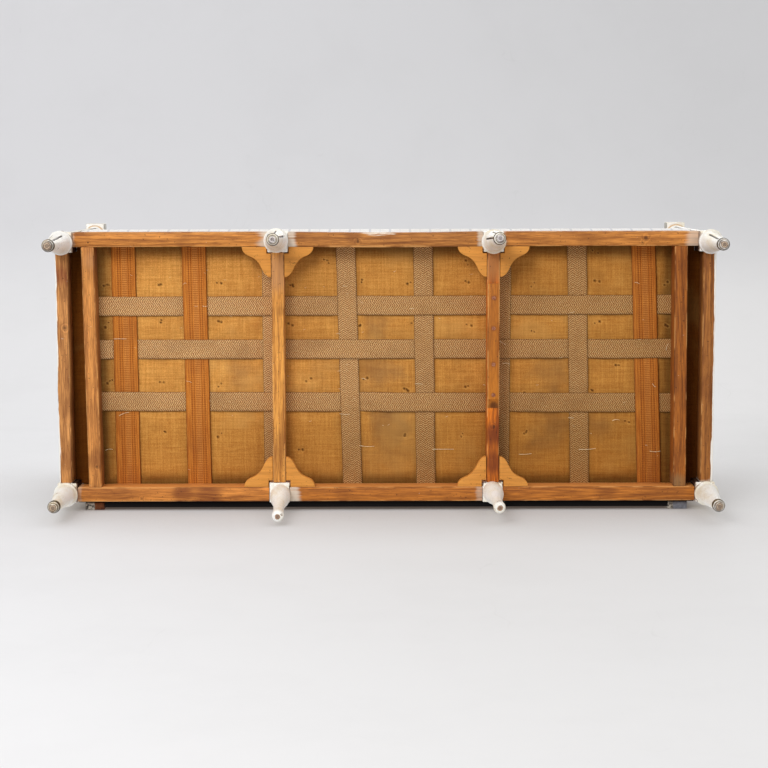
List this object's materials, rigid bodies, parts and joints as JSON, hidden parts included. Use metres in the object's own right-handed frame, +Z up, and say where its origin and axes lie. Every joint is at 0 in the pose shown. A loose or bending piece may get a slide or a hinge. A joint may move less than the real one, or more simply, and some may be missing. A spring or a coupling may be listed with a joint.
{
  "type": "sofa",
  "caption": "Long box sofa with equal-height sides and back on turned fluted legs, with a webbed and padded seat over a wooden rail frame.",
  "frame": {"origin": "on the floor, under the middle of the whole sofa", "axes": "+X along the sofa to the right of someone who faces its front, -Y out of its front, +Z up"},
  "size_m": [1.868, 0.7976, 0.888],
  "materials": {
    "painted_wood": "worn off-white paint",
    "rail_wood": "bare aged softwood",
    "gusset_wood": "bare fresh softwood",
    "repair_wood": "bare wood",
    "jute_webbing": "woven jute",
    "rust_webbing": "woven webbing",
    "burlap": "open plain weave",
    "striped_cover": "cotton with fine blue-grey stripes",
    "dark_lining": "dark cotton"
  },
  "bodies": {
    "root": {"back_pad": "striped_cover", "back_tacking_rail": "rail_wood", "back_top_rail": "painted_wood", "back_upright_left": "rail_wood", "back_upright_right": "rail_wood", "burlap_sheet": "burlap", "cross_bar_left": "rail_wood", "cross_bar_right": "rail_wood", "front_corner_post_left": "painted_wood", "front_corner_post_right": "painted_wood", "front_middle_legs": "painted_wood", "front_rail_centre": "rail_wood", "front_rail_left": "rail_wood", "front_rail_right": "rail_wood", "gusset_front_left_inner": "gusset_wood", "gusset_front_left_outer": "gusset_wood", "gusset_front_right_inner": "gusset_wood", "gusset_front_right_outer": "gusset_wood", "gusset_rear_left_inner": "gusset_wood", "gusset_rear_left_outer": "gusset_wood", "gusset_rear_right_inner": "gusset_wood", "gusset_rear_right_outer": "gusset_wood", "inner_side_rail_left": "rail_wood", "inner_side_rail_right": "rail_wood", "long_jute_strap_1": "jute_webbing", "long_jute_strap_2": "jute_webbing", "long_jute_strap_3": "jute_webbing", "outside_back_cloth": "dark_lining", "outside_side_cloth_left": "dark_lining", "outside_side_cloth_right": "dark_lining", "rear_batten_left": "painted_wood", "rear_batten_right": "painted_wood", "rear_corner_post_left": "painted_wood", "rear_corner_post_right": "painted_wood", "rear_middle_legs": "painted_wood", "rear_rail_centre": "rail_wood", "rear_rail_left": "rail_wood", "rear_rail_right": "rail_wood", "repair_batten": "repair_wood", "rust_strap_1": "rust_webbing", "rust_strap_2": "rust_webbing", "rust_strap_8": "rust_webbing", "seat_pad": "striped_cover", "short_jute_strap_3": "jute_webbing", "short_jute_strap_4": "jute_webbing", "short_jute_strap_5": "jute_webbing", "short_jute_strap_6": "jute_webbing", "short_jute_strap_7": "jute_webbing", "side_pad_left": "striped_cover", "side_pad_right": "striped_cover", "side_rail_left": "rail_wood", "side_rail_right": "rail_wood", "side_tacking_rail_left": "rail_wood", "side_tacking_rail_right": "rail_wood", "side_top_rail_left": "painted_wood", "side_top_rail_right": "painted_wood"}
  },
  "joints": []
}
